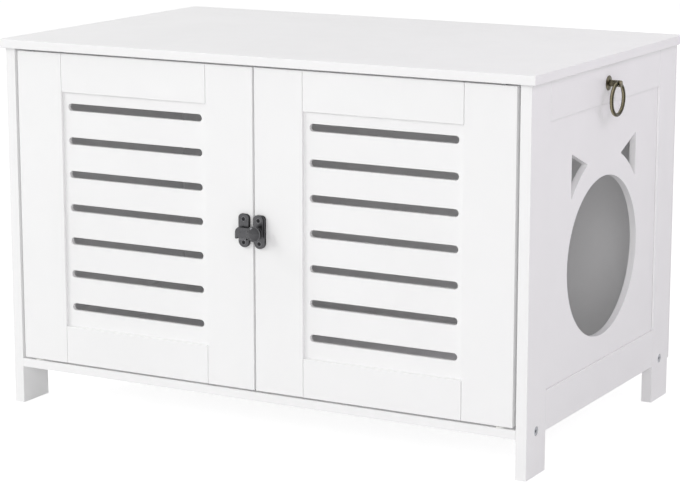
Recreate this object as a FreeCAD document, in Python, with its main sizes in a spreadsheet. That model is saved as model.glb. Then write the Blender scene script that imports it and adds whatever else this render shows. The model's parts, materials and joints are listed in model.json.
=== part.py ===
import FreeCAD, Part
import os
import Sketcher

# Cat litter box cabinet on four legs.  X runs to the right, Y to the back and Z up.
# The origin lies on the floor, in the middle of the rectangle that the four legs stand on.

Vector = FreeCAD.Vector
doc = FreeCAD.newDocument("litter_box_cabinet")
sizes = doc.addObject("Spreadsheet::Sheet", "sizes")
place = doc.addObject("Spreadsheet::Sheet", "place")
pieces = {}

# driving sizes, mm
driving = (
    # carcass
    ("body_wide", 784, "over the outer faces of the two side frames"),
    ("body_deep", 480, "side frames, front edge to rear edge"),
    ("side_tall", 498, "side frames, floor to the underside of the top"),
    ("side_thick", 15, "legs and side rails"),
    ("leg_wide", 58, "legs, seen from the side"),
    ("side_rail_tall", 52, "rails of the side frames"),
    ("leg_clear", 52, "floor to the bottom board and the bottom rails"),
    ("side_panel_thick", 9, "panels of the side frames"),
    ("groove_deep", 8, "panel grooves in stiles and rails"),
    ("groove_play", 0.5, "panel or tongue edge to the floor of its groove"),
    ("panel_play", 0.2, "panel or tongue face to the wall of its groove"),
    ("top_thick", 12, "top panel"),
    ("top_side_over", 8, "top panel past each side frame"),
    ("top_front_over", 8, "top panel past the front"),
    ("top_rear_over", 12, "top panel past the rear edges of the side frames"),
    ("top_round", 1, "rounded edges of the top panel"),
    ("bottom_thick", 12, "bottom board"),
    ("back_thick", 5, "back panel"),
    # doors
    ("door_thick", 15, "stiles and rails of the doors"),
    ("door_stile_wide", 71, "upright members of the doors"),
    ("door_rail_tall", 52, "cross members of the doors"),
    ("door_panel_thick", 6, "slotted panels of the doors"),
    ("door_side_gap", 4.5, "door to leg"),
    ("door_middle_gap", 3, "door to door"),
    ("door_top_gap", 3, "door to top panel"),
    ("door_bottom_gap", 2.5, "door to bottom board"),
    ("slot_tall", 10, "ventilation slots, width across"),
    ("slot_count", 7, "slots in each door"),
    ("slot_margin", 8.5, "slot end to the stile"),
    ("slot_room_below", 28, "middle of the lowest slot above the bottom rail"),
    ("slot_room_above", 20.5, "middle of the highest slot below the top rail"),
    # door pivots
    ("pivot_inset", 20, "pivot axis from the outer edge of the door"),
    ("pin_dia", 6, "pivot pins"),
    ("pin_in_door", 24, "pivot pin inside the door"),
    ("pin_in_board", 8, "pivot pin inside the board"),
    ("pin_play", 0.05, "pin to bushing, on the radius"),
    ("bush_dia", 9, "bushing, outside"),
    ("bush_deep", 9, "bushing inside the board"),
    ("bush_play", 0.05, "bushing to its bore, on the radius"),
    ("flange_dia", 12, "bushing flange"),
    ("flange_thick", 1.5, "bushing flange"),
    # cat entrance in the right side
    ("entrance_wide", 233, "head-shaped hole, front to back"),
    ("entrance_tall", 213, "head-shaped hole, height"),
    ("entrance_high", 243.6, "middle of the hole above the floor"),
    ("ear_arc_radius", 140, "lower edge of the ears, about the middle of the hole"),
    ("ear_half_wide", 107.5, "outer edges of the ears from the middle of the hole"),
    ("ear_tip_high", 150, "ear tips above the middle of the hole"),
    ("ear_inner_out", 54.5, "inner corners of the ears from the middle of the hole"),
    ("ear_corner_round", 1.5, "corners of the ears"),
    # side bolts and their barrel nuts
    ("bolt_head_dia", 12, "connecting bolt, head"),
    ("bolt_head_thick", 3, "connecting bolt, head"),
    ("bolt_sunk", 0.6, "bolt head below the face of the leg"),
    ("bolt_dia", 6, "connecting bolt, shank"),
    ("bolt_long", 48, "connecting bolt, shank length"),
    ("bolt_edge", 30, "bolt axis from the front or rear edge of the side"),
    ("bolt_play", 0.2, "bolt to its bores, on the radius"),
    ("thread_play", 0.05, "machine screw to its thread, on the radius"),
    ("socket_across", 4, "hexagon socket, across flats"),
    ("socket_deep", 2.2, "hexagon socket"),
    ("nut_dia", 9, "barrel nut"),
    ("nut_long", 9.5, "barrel nut"),
    ("nut_inset", 30, "barrel nut axis from the end of the bottom board"),
    ("nut_play", 0.1, "barrel nut to its bore, on the radius"),
    # cam locks that pull the top down
    ("cam_dia", 15, "cam lock"),
    ("cam_long", 12.5, "cam lock, along its axis"),
    ("cam_drop", 24, "cam axis below the top of the side"),
    ("cam_play", 0.1, "cam to its bore, on the radius"),
    ("cam_slot_long", 10, "driver slot in the cam"),
    ("cam_slot_wide", 1.4, "driver slot in the cam"),
    ("cam_slot_deep", 1.6, "driver slot in the cam"),
    ("cam_bolt_dia", 5, "cam bolt, shank"),
    ("cam_bolt_head_dia", 7, "cam bolt, head"),
    ("cam_bolt_head_thick", 3, "cam bolt, head"),
    ("cam_bolt_in_top", 8, "cam bolt inside the top panel"),
    ("cam_bolt_play", 0.2, "cam bolt head to its bores, on the radius"),
    # dowels
    ("top_dowel_dia", 8, "dowels between top and side frames"),
    ("top_dowel_in_top", 8, "dowel inside the top panel"),
    ("top_dowel_in_rail", 22, "dowel inside the rail"),
    ("top_dowel_from_middle", 110, "dowel axis from the middle of the side"),
    ("base_dowel_dia", 6, "dowels between bottom board and side frames"),
    ("base_dowel_in_rail", 10, "dowel inside the rail"),
    ("base_dowel_in_board", 20, "dowel inside the bottom board"),
    ("base_dowel_from_middle", 100, "dowel axis from the middle of the side"),
    ("dowel_play", 0.05, "dowel to its bore, on the radius"),
    ("bore_spare", 1, "blind bores past the end of what they hold"),
    # wood screws
    ("screw_play", 0.1, "wood screw to its bore, on the radius"),
    ("back_screw_dia", 3.5, "back panel screws"),
    ("back_screw_long", 14, "back panel screws inside the legs"),
    ("back_head_dia", 7, "back panel screws, head"),
    ("back_head_thick", 2, "back panel screws, head"),
    ("back_screw_inset", 28, "end screws from the ends of the legs' rear face"),
    ("back_screw_apart", 200, "screws along the bottom board"),
    # latch
    ("plate_wide", 16.6, "latch base and keeper"),
    ("plate_tall", 44.5, "latch base and keeper"),
    ("plate_top_round", 5.5, "upper corners of the base and of the keeper"),
    ("base_thick", 4, "latch base"),
    ("housing_thick", 6, "upper part of the latch base"),
    ("housing_inset", 1.5, "upper part from the right edge of the base"),
    ("housing_drop", 6.5, "upper part below the latch axis"),
    ("keeper_thick", 4, "keeper"),
    ("base_inset", 0.3, "latch base from the edge of the right door"),
    ("keeper_inset", 3.7, "keeper from the edge of the left door"),
    ("plate_screw_apart", 31, "screws in the latch base and in the keeper"),
    ("plate_screw_dia", 3, "latch screws"),
    ("plate_screw_in_door", 11, "latch screws inside the door"),
    ("plate_head_dia", 5.5, "latch screws, head"),
    ("plate_head_thick", 1.6, "latch screws, head"),
    ("plate_head_sunk", 0.5, "latch screw heads below the plate"),
    ("driver_cross_wide", 0.9, "cross recess of the latch screws"),
    ("driver_cross_long", 3.8, "cross recess of the latch screws"),
    ("driver_cross_deep", 0.8, "cross recess of the latch screws"),
    ("lever_thick", 3, "lever"),
    ("lever_play", 0.3, "lever to latch base and to keeper"),
    ("lever_reach", 34, "lever axis to its tip"),
    ("lever_rise", 5.3, "upper edge of the lever above its axis"),
    ("lever_tall", 14.8, "lever, and its half-round end"),
    ("lever_hub_dia", 15, "round end of the lever under the knob"),
    ("lever_tip_drop", 10.6, "hooked tip of the lever below its axis"),
    ("lever_tip_wide", 3.5, "hooked tip of the lever"),
    ("lever_pad_long", 9, "thick end of the lever that lies on the keeper"),
    ("ledge_drop", 2.2, "keeper ledge, top to bottom"),
    ("ledge_wide", 10, "keeper ledge"),
    ("ledge_proud", 2.5, "keeper ledge past the face of the keeper"),
    ("spindle_dia", 4, "latch spindle"),
    ("spindle_play", 0.05, "spindle to the latch base, on the radius"),
    ("spindle_square", 3.5, "square that drives the lever"),
    ("spindle_foot_dia", 7, "riveted foot of the spindle"),
    ("spindle_foot_thick", 1.2, "riveted foot of the spindle"),
    ("foot_play", 0.3, "riveted foot to its recess"),
    ("knob_neck_dia", 8, "knob, neck"),
    ("knob_neck_long", 4.4, "knob, neck"),
    ("knob_dia", 20.6, "knob, rim"),
    ("knob_flare", 3.8, "knob, neck to rim"),
    ("knob_rim", 1.4, "knob, rim"),
    ("knob_dome_dia", 18.2, "knob, dome"),
    ("knob_dome", 3.8, "knob, dome over the rim"),
    # ring pull on the right side
    ("rosette_dia", 19.5, "rosette"),
    ("rosette_thick", 2.4, "rosette"),
    ("rosette_edge", 1, "rosette at its rim"),
    ("post_dia", 8.8, "post at the rosette"),
    ("post_tip_dia", 8.6, "post at its end"),
    ("post_proud", 18.5, "end of the post from the face of the rail"),
    ("post_round", 1.4, "rounded end of the post"),
    ("eye_out", 13, "axis of the ring's eye from the face of the rail"),
    ("eye_dia", 6.2, "eye through the post"),
    ("ring_radius", 20.4, "ring, centre line"),
    ("ring_wire", 5, "ring, wire"),
    ("pull_screw_dia", 4, "screw that holds the post"),
    ("pull_screw_in_post", 6, "that screw inside the post"),
    ("pull_head_dia", 8, "that screw, head"),
    ("pull_head_thick", 2.5, "that screw, head"),
    # magnetic catch behind the doors
    ("catch_wide", 48, "catch housing"),
    ("catch_deep", 15, "catch housing"),
    ("catch_tall", 14, "catch housing"),
    ("magnet_wide", 12, "magnets"),
    ("magnet_tall", 8, "magnets"),
    ("magnet_deep", 9, "magnets"),
    ("magnet_proud", 0.5, "magnets past the housing"),
    ("magnet_out", 13, "middle of a magnet from the middle of the cabinet"),
    ("catch_screw_dia", 3, "catch screws"),
    ("catch_screw_in_top", 8, "catch screws inside the top panel"),
    ("catch_head_dia", 5.5, "catch screws, head"),
    ("catch_head_thick", 1.8, "catch screws, head"),
    ("strike_wide", 18, "strike plates"),
    ("strike_tall", 7, "strike plates"),
    ("strike_thick", 1.5, "strike plates"),
    ("strike_play", 0.3, "strike plate to magnet"),
    ("strike_head_thick", 1, "strike screw, head"),
    ("strike_head_dia", 5, "strike screw, head"),
    ("strike_screw_dia", 3, "strike screw"),
    ("strike_screw_in_door", 10, "strike screw inside the door"),
)

# Places worked out from them, on the right side of the cabinet where there are two
worked_out = (
    ("outer", "sizes.body_wide / 2"),
    ("inner", "outer - sizes.side_thick"),
    ("side_middle", "outer - sizes.side_thick / 2"),
    ("front", "-sizes.body_deep / 2"),
    ("rear", "sizes.body_deep / 2"),
    ("board_top", "sizes.leg_clear + sizes.bottom_thick"),
    ("board_middle", "sizes.leg_clear + sizes.bottom_thick / 2"),
    ("total_tall", "sizes.side_tall + sizes.top_thick"),
    ("top_rail_middle", "sizes.side_tall - sizes.side_rail_tall / 2"),
    # doors
    ("door_near", "sizes.door_middle_gap / 2"),
    ("door_far", "inner - sizes.door_side_gap"),
    ("door_low", "board_top + sizes.door_bottom_gap"),
    ("door_high", "sizes.side_tall - sizes.door_top_gap"),
    ("door_back", "front + sizes.door_thick"),
    ("door_middle", "(door_low + door_high) / 2"),
    ("door_open_near", "door_near + sizes.door_stile_wide"),
    ("door_open_far", "door_far - sizes.door_stile_wide"),
    ("pivot_out", "door_far - sizes.pivot_inset"),
    ("pivot_deep", "front + sizes.door_thick / 2"),
    ("panel_front", "pivot_deep - sizes.door_panel_thick / 2"),
    ("panel_back", "pivot_deep + sizes.door_panel_thick / 2"),
    ("slot_low", "door_low + sizes.door_rail_tall + sizes.slot_room_below"),
    ("slot_high", "door_high - sizes.door_rail_tall - sizes.slot_room_above"),
    ("slot_half", "sizes.slot_tall / 2"),
    # bolts, nuts and cams
    ("bolt_deep", "rear - sizes.bolt_edge"),
    ("bolt_seat", "outer - sizes.bolt_sunk - sizes.bolt_head_thick"),
    ("nut_out", "inner - sizes.nut_inset"),
    ("nut_low", "board_middle - sizes.nut_long / 2"),
    ("cam_deep", "rear - sizes.leg_wide / 2"),
    ("cam_high", "sizes.side_tall - sizes.cam_drop"),
    ("cam_end", "inner + sizes.cam_long"),
    # latch
    ("plate_half", "sizes.plate_wide / 2"),
    ("plate_low", "door_middle - sizes.plate_tall / 2"),
    ("plate_high", "door_middle + sizes.plate_tall / 2"),
    ("base_out", "door_near + sizes.base_inset + plate_half"),
    ("keeper_out", "-door_near - sizes.keeper_inset - plate_half"),
    ("base_front", "front - sizes.base_thick"),
    ("housing_front", "front - sizes.housing_thick"),
    ("housing_low", "door_middle - sizes.housing_drop"),
    ("keeper_front", "front - sizes.keeper_thick"),
    ("lever_back", "housing_front - sizes.lever_play"),
    ("lever_front", "lever_back - sizes.lever_thick"),
    ("lever_tip", "base_out - sizes.lever_reach"),
    ("lever_high", "door_middle + sizes.lever_rise"),
    ("lever_low", "lever_high - sizes.lever_tall"),
    ("lever_round", "sizes.lever_tall / 2"),
    ("lever_centre", "lever_high - lever_round"),
    ("neck_end", "lever_front - sizes.knob_neck_long"),
    ("foot_end", "front - sizes.foot_play"),
    ("foot_start", "foot_end - sizes.spindle_foot_thick"),
    # ring pull
    ("rosette_front", "outer + sizes.rosette_thick"),
    ("post_end", "outer + sizes.post_proud"),
    ("eye_axis", "outer + sizes.eye_out"),
    # catch
    ("magnet_front", "door_back + sizes.strike_thick + sizes.strike_play"),
    ("catch_front", "magnet_front + sizes.magnet_proud"),
    ("catch_low", "sizes.side_tall - sizes.catch_tall"),
    ("catch_middle", "sizes.side_tall - sizes.catch_tall / 2"),
    ("catch_screw_deep", "catch_front + sizes.magnet_deep + sizes.catch_head_dia / 2"),
)


def fill_sheets():
    for row, (alias, value, note) in enumerate(driving, start=1):
        sizes.set(f"A{row}", alias)
        sizes.set(f"B{row}", str(value))
        sizes.setAlias(f"B{row}", alias)
        sizes.set(f"C{row}", note)
    doc.recompute()
    for row, (alias, formula) in enumerate(worked_out, start=1):
        place.set(f"A{row}", alias)
        place.set(f"B{row}", "=" + formula)
        place.setAlias(f"B{row}", alias)
    doc.recompute()


# how a piece is drawn
# Each axis has an origin plane, the side its normal points to, and its two drawing directions.
planes = {"x": ("YZ_Plane", 1), "y": ("XZ_Plane", -1), "z": ("XY_Plane", 1)}


def add_body(name):
    body = doc.addObject("PartDesign::Body", name)
    body.Label = name
    pieces[name] = body
    return body


def origin_plane(body, role):
    return next(item for item in body.Origin.OriginFeatures if item.Role == role)


def add_sketch(body, axis, at):
    role, sign = planes[axis]
    sketch = body.newObject("Sketcher::SketchObject", body.Name + "_sketch")
    sketch.AttachmentSupport = [(origin_plane(body, role), "")]
    sketch.MapMode = "FlatFace"
    sketch.setExpression("AttachmentOffset.Base.z", f"{sign} * ({at})")
    return sketch


def bind(sketch, kind, ends, formula):
    number = sketch.addConstraint(Sketcher.Constraint(kind, *ends, value_of(sketch, formula)))
    sketch.setExpression(f"Constraints[{number}]", formula)


def bind_point(sketch, geometry, end, point):
    bind(sketch, "DistanceX", (-1, 1, geometry, end), point[0])
    bind(sketch, "DistanceY", (-1, 1, geometry, end), point[1])


def value_of(sketch, formula):
    return float(sketch.evalExpression(formula))


def arc_between(start, finish, radius, swell):
    # The shallow arc of this radius from start to finish.  It swells to the right of that
    # direction for 1 and to the left for -1.
    chord = finish - start
    across = Vector(chord.y, -chord.x, 0).normalize()
    rise = radius - (radius**2 - chord.Length**2 / 4) ** 0.5
    return Part.Arc(start, (start + finish) / 2 + across * rise * swell, finish)


def draw_outline(sketch, points, arcs=None):
    # A closed outline.  Its sides are straight, but for the numbered ones in arcs, which
    # have a radius and a direction that they swell to.
    arcs = arcs or {}
    first = sketch.GeometryCount
    count = len(points)
    corners = [Vector(*(value_of(sketch, part) for part in point), 0) for point in points]
    for number in range(count):
        ends = (corners[number], corners[(number + 1) % count])
        if number in arcs:
            radius, swell = arcs[number]
            sketch.addGeometry(arc_between(*ends, value_of(sketch, radius), swell), False)
        else:
            sketch.addGeometry(Part.LineSegment(*ends), False)
    exits = []
    for number in range(count):
        exits.append(exit_of(sketch, first + number, corners[(number + 1) % count]))
    for number in range(count):
        following = (number + 1) % count
        entry = 3 - exits[following]
        meeting = (first + number, exits[number], first + following, entry)
        sketch.addConstraint(Sketcher.Constraint("Coincident", *meeting))
        bind_point(sketch, first + following, entry, points[following])
    for number, (radius, swell) in arcs.items():
        bind(sketch, "Radius", (first + number,), radius)


def exit_of(sketch, geometry, corner):
    # Which end of a drawn side lies at this corner: 1 or 2.
    gaps = [(sketch.getPoint(geometry, end) - corner).Length for end in (1, 2)]
    return 1 if gaps[0] < gaps[1] else 2


def draw_circles(sketch, centres, diameter):
    for centre in centres:
        middle = Vector(*(value_of(sketch, part) for part in centre), 0)
        circle = sketch.addGeometry(Part.Circle(middle, Vector(0, 0, 1), 1), False)
        bind_point(sketch, circle, 3, centre)
        bind(sketch, "Diameter", (circle,), diameter)


def add_pad(body, axis, low, high):
    sketch = add_sketch(body, axis, high if axis == "y" else low)
    pad = body.newObject("PartDesign::Pad", body.Name + "_pad")
    pad.Profile = sketch
    pad.setExpression("Length", f"({high}) - ({low})")
    return pad


def add_pocket(body, axis, low, high):
    sketch = add_sketch(body, axis, low if axis == "y" else high)
    pocket = body.newObject("PartDesign::Pocket", body.Name + "_pocket")
    pocket.Profile = sketch
    pocket.setExpression("Length", f"({high}) - ({low})")
    return pocket


def sketch_of(feature):
    return feature.Profile[0]


def box(left, right, bottom, top):
    return ((left, bottom), (right, bottom), (right, top), (left, top))


def box_about(centre, wide, tall):
    across, up = centre
    return box(f"{across} - {wide} / 2", f"{across} + {wide} / 2", f"{up} - {tall} / 2", f"{up} + {tall} / 2")


def extend(body, axis, low, high, outline):
    draw_outline(sketch_of(add_pad(body, axis, low, high)), outline)


def extend_round(body, axis, low, high, centres, diameter):
    draw_circles(sketch_of(add_pad(body, axis, low, high)), centres, diameter)


def cut(body, axis, low, high, outline):
    pocket = add_pocket(body, axis, low, high)
    draw_outline(sketch_of(pocket), outline)
    return pocket


def drill(body, axis, low, high, centres, diameter):
    pocket = add_pocket(body, axis, low, high)
    draw_circles(sketch_of(pocket), centres, diameter)
    return pocket


def add_board(name, axis, low, high, outline):
    body = add_body(name)
    extend(body, axis, low, high, outline)
    return body


def add_pegs(name, axis, steps, centres):
    # Round pieces alike, one at each centre.  Each step is a length of one diameter.
    body = add_body(name)
    body.AllowCompound = True
    for low, high, diameter in steps:
        extend_round(body, axis, low, high, centres, diameter)
    return body


def turn(body, axis, axis_line, draw):
    # A shape turned about a line, in the plane through the middle of the piece.
    level, start, finish = axis_line
    sketch = add_sketch(body, axis, level)
    ends = [Vector(*(value_of(sketch, part) for part in point), 0) for point in (start, finish)]
    line = sketch.addGeometry(Part.LineSegment(*ends), True)
    bind_point(sketch, line, 1, start)
    bind_point(sketch, line, 2, finish)
    draw(sketch)
    turned = body.newObject("PartDesign::Revolution", body.Name + "_turned")
    turned.Profile = sketch
    turned.ReferenceAxis = (sketch, ["Axis0"])
    turned.Angle = 360


def round_edges(body, radius, chosen):
    doc.recompute()
    base = body.Tip
    every = enumerate(base.Shape.Edges, start=1)
    edges = [f"Edge{number}" for number, edge in every if chosen(edge)]
    fillet = body.newObject("PartDesign::Fillet", body.Name + "_round")
    fillet.Base = (base, edges)
    fillet.setExpression("Radius", radius)


def mirrored(side, low, high):
    # A length between two places on the right side of the cabinet, or its mirror image.
    return (low, high) if side > 0 else (f"-({high})", f"-({low})")


# frames with a panel
def add_frame(names, axis, thick, width, stile_ends, rail_ends, stile, rail, panel):
    # Two stiles, two rails between them and a panel in a groove all round the opening.
    low, high = thick
    left, right = width
    foot, head = rail_ends
    middle = f"(({low}) + ({high})) / 2"
    open_left = f"({left}) + {stile}"
    open_right = f"({right}) - {stile}"
    open_low = f"({foot}) + {rail}"
    open_high = f"({head}) - {rail}"
    groove = (f"{middle} - {panel} / 2 - sizes.panel_play", f"{middle} + {panel} / 2 + sizes.panel_play")
    leaf = (f"{middle} - {panel} / 2", f"{middle} + {panel} / 2")
    reach = "(sizes.groove_deep - sizes.groove_play)"
    deep = "sizes.groove_deep"

    start = add_board(names["left"], axis, low, high, box(left, open_left, *stile_ends))
    cut(start, axis, *groove, box(f"{open_left} - {deep}", open_left, foot, head))
    finish = add_board(names["right"], axis, low, high, box(open_right, right, *stile_ends))
    cut(finish, axis, *groove, box(open_right, f"{open_right} + {deep}", foot, head))

    tongue = (f"{open_left} - {reach}", f"{open_right} + {reach}")
    lower = add_board(names["bottom"], axis, low, high, box(open_left, open_right, foot, open_low))
    extend(lower, axis, *leaf, box(*tongue, foot, f"{open_low} - {deep}"))
    cut(lower, axis, *groove, box(open_left, open_right, f"{open_low} - {deep}", open_low))
    upper = add_board(names["top"], axis, low, high, box(open_left, open_right, open_high, head))
    extend(upper, axis, *leaf, box(*tongue, f"{open_high} + {deep}", head))
    cut(upper, axis, *groove, box(open_left, open_right, open_high, f"{open_high} + {deep}"))

    add_board(names["panel"], axis, *leaf, box(*tongue, f"{open_low} - {reach}", f"{open_high} + {reach}"))


# places used by several pieces
def negative(formula):
    return f"-({formula})"


def corners(across, along):
    return [(x, y) for x in (across, negative(across)) for y in (along, negative(along))]


def ends(across, along):
    return [(across, y) for y in (along, negative(along))]


def sided(side, formula):
    return formula if side > 0 else negative(formula)


def bore(diameter, play):
    return f"{diameter} + 2 * {play}"


sides = ((1, "right"), (-1, "left"))
bolt_centres = [(y, "place.board_middle") for y in ("place.bolt_deep", negative("place.bolt_deep"))]
cam_centres = [(y, "place.cam_high") for y in ("place.cam_deep", negative("place.cam_deep"))]
base_dowel = "sizes.base_dowel_from_middle"
base_dowel_centres = [(y, "place.board_middle") for y in (base_dowel, negative(base_dowel))]
pull_centre = ("0", "place.top_rail_middle")
pivot_centres = [(x, "place.pivot_deep") for x in ("place.pivot_out", negative("place.pivot_out"))]
catch_screw_centres = [
    (x, "place.catch_screw_deep") for x in ("sizes.magnet_out", negative("sizes.magnet_out"))
]
back_screw_heights = (
    "sizes.leg_clear + sizes.back_screw_inset",
    "(sizes.leg_clear + sizes.side_tall) / 2",
    "sizes.side_tall - sizes.back_screw_inset",
)
board_screw_centres = [
    (x, "place.board_middle") for x in ("sizes.back_screw_apart", "0", "-sizes.back_screw_apart")
]


# carcass
def add_side(side, word):
    names = {
        "left": f"{word}_front_leg",
        "right": f"{word}_rear_leg",
        "top": f"{word}_side_top_rail",
        "bottom": f"{word}_side_bottom_rail",
        "panel": f"{word}_side_panel",
    }
    add_frame(
        names,
        "x",
        mirrored(side, "place.inner", "place.outer"),
        ("place.front", "place.rear"),
        ("0", "sizes.side_tall"),
        ("sizes.leg_clear", "sizes.side_tall"),
        "sizes.leg_wide",
        "sizes.side_rail_tall",
        "sizes.side_panel_thick",
    )
    middle = sided(side, "place.side_middle")
    cam_bore = mirrored(side, "place.inner", "place.cam_end + sizes.bore_spare")
    for number, place_word in enumerate(("rear", "front")):
        leg = pieces[f"{word}_{place_word}_leg"]
        bolt = [bolt_centres[number]]
        cam = [cam_centres[number]]
        seat = mirrored(side, "place.bolt_seat", "place.outer")
        drill(leg, "x", *seat, bolt, bore("sizes.bolt_head_dia", "sizes.bolt_play"))
        shank = mirrored(side, "place.inner", "place.bolt_seat")
        drill(leg, "x", *shank, bolt, bore("sizes.bolt_dia", "sizes.bolt_play"))
        drill(leg, "x", *cam_bore, cam, bore("sizes.cam_dia", "sizes.cam_play"))
        down = [(middle, cam_centres[number][0])]
        wide = bore("sizes.cam_bolt_head_dia", "sizes.cam_bolt_play")
        drill(leg, "z", "place.cam_high", "sizes.side_tall", down, wide)

    screws = [(middle, height) for height in back_screw_heights]
    start = "place.rear - sizes.back_screw_long - sizes.bore_spare"
    wide = bore("sizes.back_screw_dia", "sizes.screw_play")
    drill(pieces[f"{word}_rear_leg"], "y", start, "place.rear", screws, wide)

    foot = "sizes.side_tall - sizes.top_dowel_in_rail - sizes.bore_spare"
    dowels = ends(middle, "sizes.top_dowel_from_middle")
    wide = bore("sizes.top_dowel_dia", "sizes.dowel_play")
    drill(pieces[f"{word}_side_top_rail"], "z", foot, "sizes.side_tall", dowels, wide)

    deep = mirrored(side, "place.inner", "place.inner + sizes.base_dowel_in_rail + sizes.bore_spare")
    wide = bore("sizes.base_dowel_dia", "sizes.dowel_play")
    drill(pieces[f"{word}_side_bottom_rail"], "x", *deep, base_dowel_centres, wide)


def cut_cat_entrance():
    # A round head with two ears, right through the panel of the right side.
    body = pieces["right_side_panel"]
    thick = (
        "place.side_middle - sizes.side_panel_thick / 2",
        "place.side_middle + sizes.side_panel_thick / 2",
    )
    head = add_pocket(body, "x", *thick)
    middle = ("0", "sizes.entrance_high")
    draw_ellipse(sketch_of(head), middle, "sizes.entrance_wide / 2", "sizes.entrance_tall / 2")

    radius = "sizes.ear_arc_radius"
    inner_high = f"sizes.entrance_high + sqrt({radius}^2 - sizes.ear_inner_out^2)"
    outer_high = f"sizes.entrance_high + sqrt({radius}^2 - sizes.ear_half_wide^2)"
    points = (
        ("-sizes.ear_inner_out", inner_high),
        ("-sizes.ear_half_wide", "sizes.entrance_high + sizes.ear_tip_high"),
        ("-sizes.ear_half_wide", outer_high),
    )
    ear = add_pocket(body, "x", *thick)
    draw_outline(sketch_of(ear), points, {2: (radius, -1)})
    both = body.newObject("PartDesign::Mirrored", body.Name + "_ears")
    both.Originals = [ear]
    both.MirrorPlane = (origin_plane(body, "XZ_Plane"), [""])
    body.Tip = both
    round_edges(body, "sizes.ear_corner_round", is_ear_corner)


def is_ear_corner(edge):
    middle = edge.CenterOfMass
    along = edge.tangentAt(edge.FirstParameter)
    inside = abs(middle.y) < sizes.ear_half_wide + sizes.ear_corner_round
    above = middle.z > sizes.entrance_high + sizes.entrance_tall / 4
    return inside and above and abs(along.x) > 0.999 and edge.Curve.TypeId == "Part::GeomLine"


def draw_ellipse(sketch, centre, half_wide, half_tall):
    middle = Vector(*(value_of(sketch, part) for part in centre), 0)
    right = Vector(value_of(sketch, half_wide), 0, 0)
    up = Vector(0, value_of(sketch, half_tall), 0)
    if right.Length >= up.Length:
        far, near, level, longer, shorter = right, up, "Horizontal", half_wide, half_tall
    else:
        far, near, level, longer, shorter = up, right, "Vertical", half_tall, half_wide
    curve = sketch.addGeometry(Part.Ellipse(middle + far, middle + near, middle), False)
    sketch.exposeInternalGeometry(curve)
    sketch.addConstraint(Sketcher.Constraint(level, curve + 1))
    bind(sketch, "Distance", (curve + 1,), f"2 * ({longer})")
    bind(sketch, "Distance", (curve + 2,), f"2 * ({shorter})")
    bind_point(sketch, curve, 3, centre)


def add_top_panel():
    wide = "place.outer + sizes.top_side_over"
    front = "place.front - sizes.top_front_over"
    rear = "place.rear + sizes.top_rear_over"
    outline = box(negative(wide), wide, front, rear)
    top = add_board("top_panel", "z", "sizes.side_tall", "place.total_tall", outline)
    round_edges(top, "sizes.top_round", lambda edge: True)
    foot = "sizes.side_tall"
    spare = "sizes.bore_spare"
    cams = corners("place.side_middle", "place.cam_deep")
    wide = bore("sizes.cam_bolt_dia", "sizes.thread_play")
    drill(top, "z", foot, f"{foot} + sizes.cam_bolt_in_top + {spare}", cams, wide)
    dowels = corners("place.side_middle", "sizes.top_dowel_from_middle")
    wide = bore("sizes.top_dowel_dia", "sizes.dowel_play")
    drill(top, "z", foot, f"{foot} + sizes.top_dowel_in_top + {spare}", dowels, wide)
    wide = bore("sizes.bush_dia", "sizes.bush_play")
    drill(top, "z", foot, f"{foot} + sizes.bush_deep", pivot_centres, wide)
    wide = bore("sizes.catch_screw_dia", "sizes.screw_play")
    drill(top, "z", foot, f"{foot} + sizes.catch_screw_in_top + {spare}", catch_screw_centres, wide)


def add_bottom_board():
    outline = box(negative("place.inner"), "place.inner", "place.front", "place.rear")
    board = add_board("bottom_board", "z", "sizes.leg_clear", "place.board_top", outline)
    for side, word in sides:
        end = "place.bolt_seat - sizes.bolt_long - sizes.bore_spare"
        wide = bore("sizes.bolt_dia", "sizes.bolt_play")
        drill(board, "x", *mirrored(side, end, "place.inner"), bolt_centres, wide)
        end = "place.inner - sizes.base_dowel_in_board - sizes.bore_spare"
        wide = bore("sizes.base_dowel_dia", "sizes.dowel_play")
        drill(board, "x", *mirrored(side, end, "place.inner"), base_dowel_centres, wide)
    nuts = corners("place.nut_out", "place.bolt_deep")
    wide = bore("sizes.nut_dia", "sizes.nut_play")
    drill(board, "z", "sizes.leg_clear", "place.nut_low + sizes.nut_long", nuts, wide)
    wide = bore("sizes.bush_dia", "sizes.bush_play")
    drill(board, "z", "place.board_top - sizes.bush_deep", "place.board_top", pivot_centres, wide)
    start = "place.rear - sizes.back_screw_long - sizes.bore_spare"
    wide = bore("sizes.back_screw_dia", "sizes.screw_play")
    drill(board, "y", start, "place.rear", board_screw_centres, wide)


def back_screw_centres():
    legs = []
    for side, word in sides:
        legs += [(sided(side, "place.side_middle"), height) for height in back_screw_heights]
    return legs + board_screw_centres


def add_back_panel():
    finish = "place.rear + sizes.back_thick"
    outline = box(negative("place.outer"), "place.outer", "sizes.leg_clear", "sizes.side_tall")
    panel = add_board("back_panel", "y", "place.rear", finish, outline)
    wide = bore("sizes.back_screw_dia", "sizes.screw_play")
    drill(panel, "y", "place.rear", finish, back_screw_centres(), wide)


# carcass fasteners
def hexagon(centre, across):
    # A hexagon with two flats level, of this size across its flats.
    y, z = centre
    point = f"{across} / sqrt(3)"
    half = f"{across} / 2"
    flat = f"{across} / sqrt(12)"
    steps = (
        (point, "0"),
        (flat, half),
        (negative(flat), half),
        (negative(point), "0"),
        (negative(flat), negative(half)),
        (flat, negative(half)),
    )
    return [(f"{y} + {right}", f"{z} + {up}") for right, up in steps]


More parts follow.
